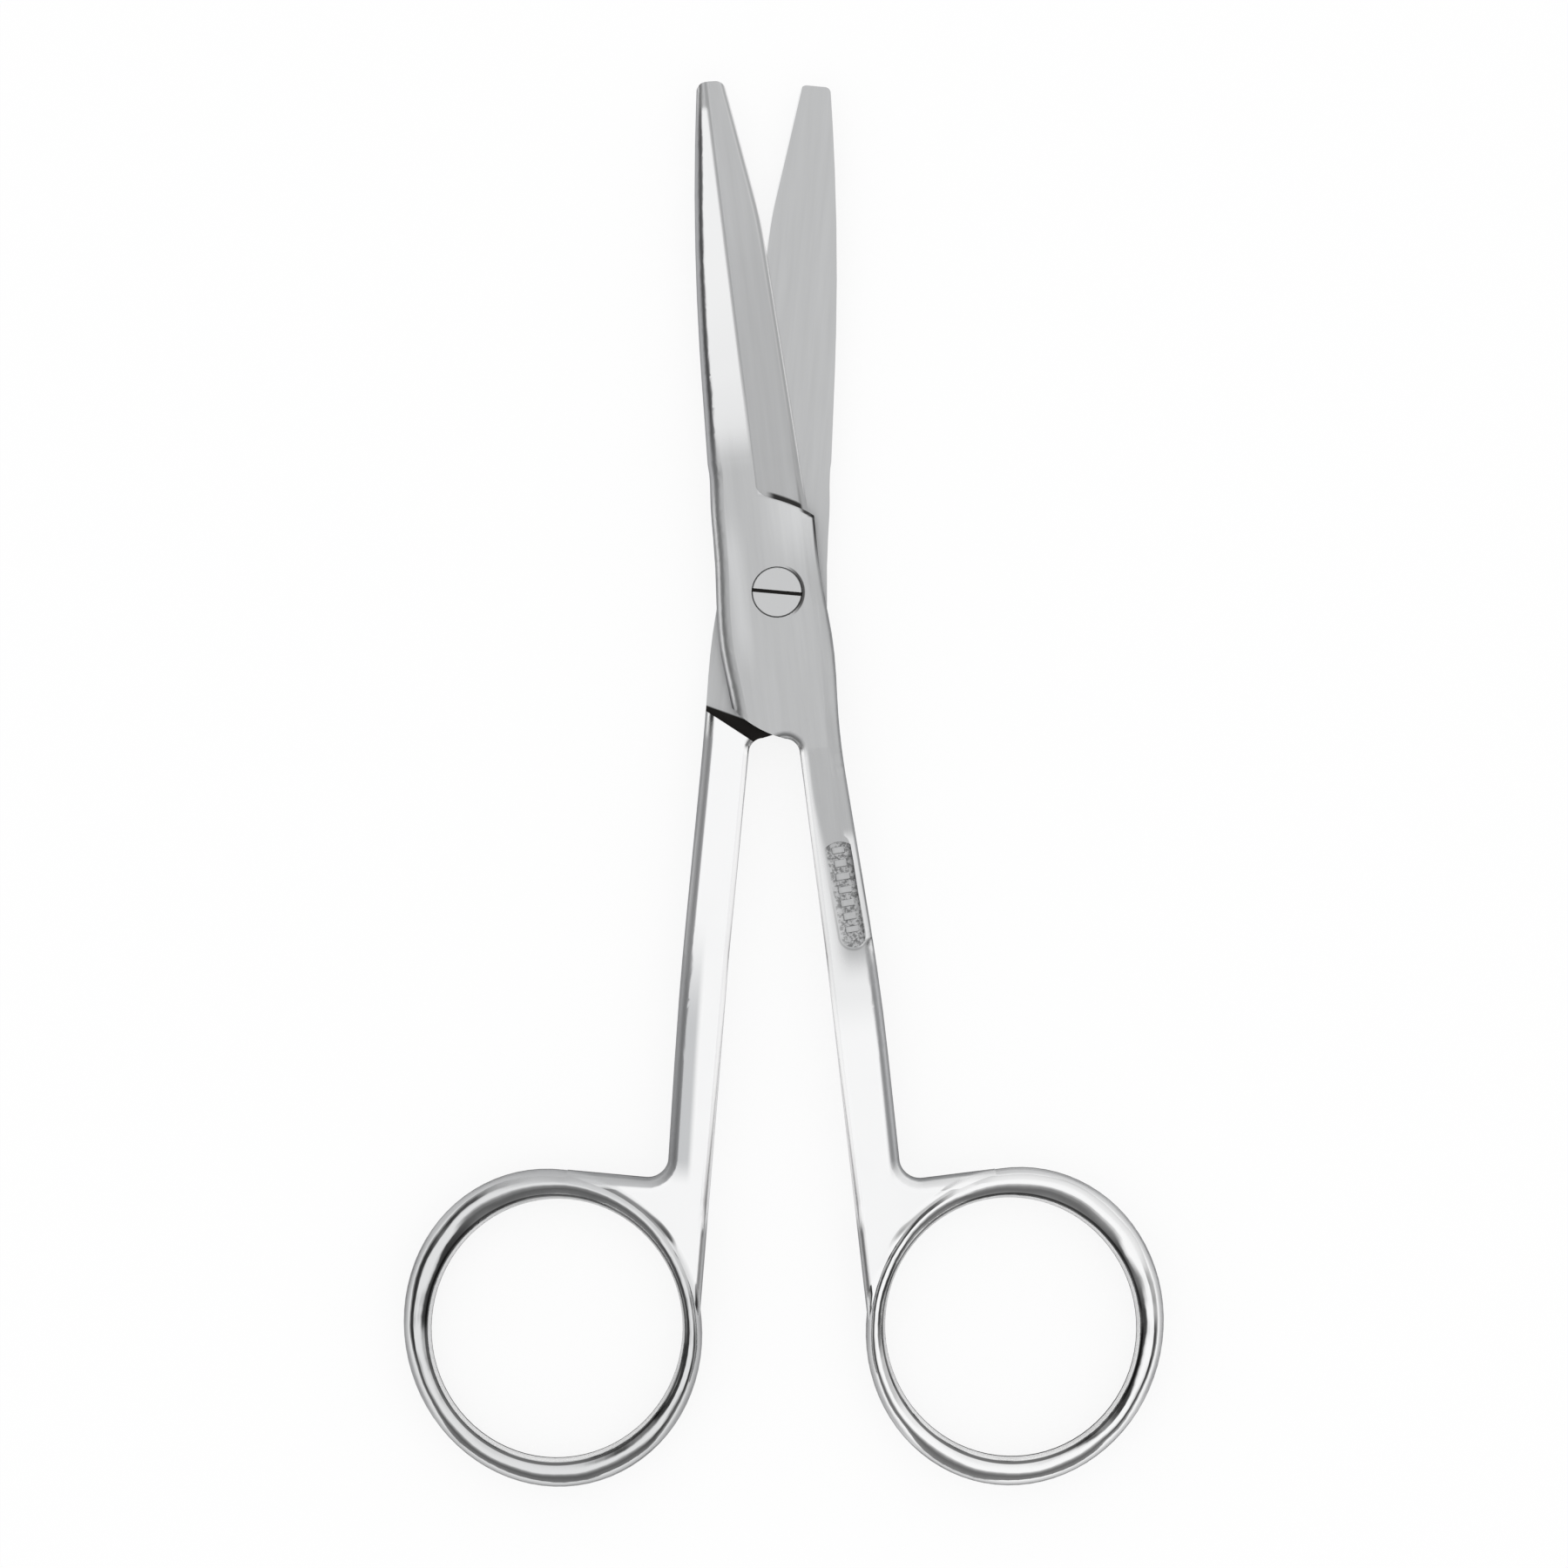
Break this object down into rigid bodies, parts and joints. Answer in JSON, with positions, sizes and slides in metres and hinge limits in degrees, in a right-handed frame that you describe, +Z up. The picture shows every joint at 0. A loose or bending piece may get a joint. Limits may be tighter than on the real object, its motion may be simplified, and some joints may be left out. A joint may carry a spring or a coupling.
{
  "type": "mayo scissors",
  "caption": "Ring-handled surgical scissors with straight blunt blades, a lap joint on a slotted screw, straight shanks and oval finger rings.",
  "frame": {"origin": "on the screw's axis, in the plane the scissors rest on, which is the outer face of the lower half's lap", "axes": "+Y towards the blade tips midway between the halves, +Z up along the screw towards its head, +X to the right seen from above with the tips away"},
  "size_m": [0.0787, 0.1458, 0.0052],
  "materials": {
    "forged_steel": "satin ground flats on blades and lap, polished shanks and rings",
    "screw_steel": "satin, turned"
  },
  "bodies": {
    "lower_body": {"lower_half": "forged_steel", "joint_screw": "screw_steel"},
    "upper_body": {"upper_half": "forged_steel"}
  },
  "joints": [
    {"name": "screw_pivot", "type": "hinge", "parent": "lower_body", "child": "upper_body", "pos_m": [0, 0, 0], "axis": [0, 0, 1], "range_deg": [-12.4, 115]}
  ]
}
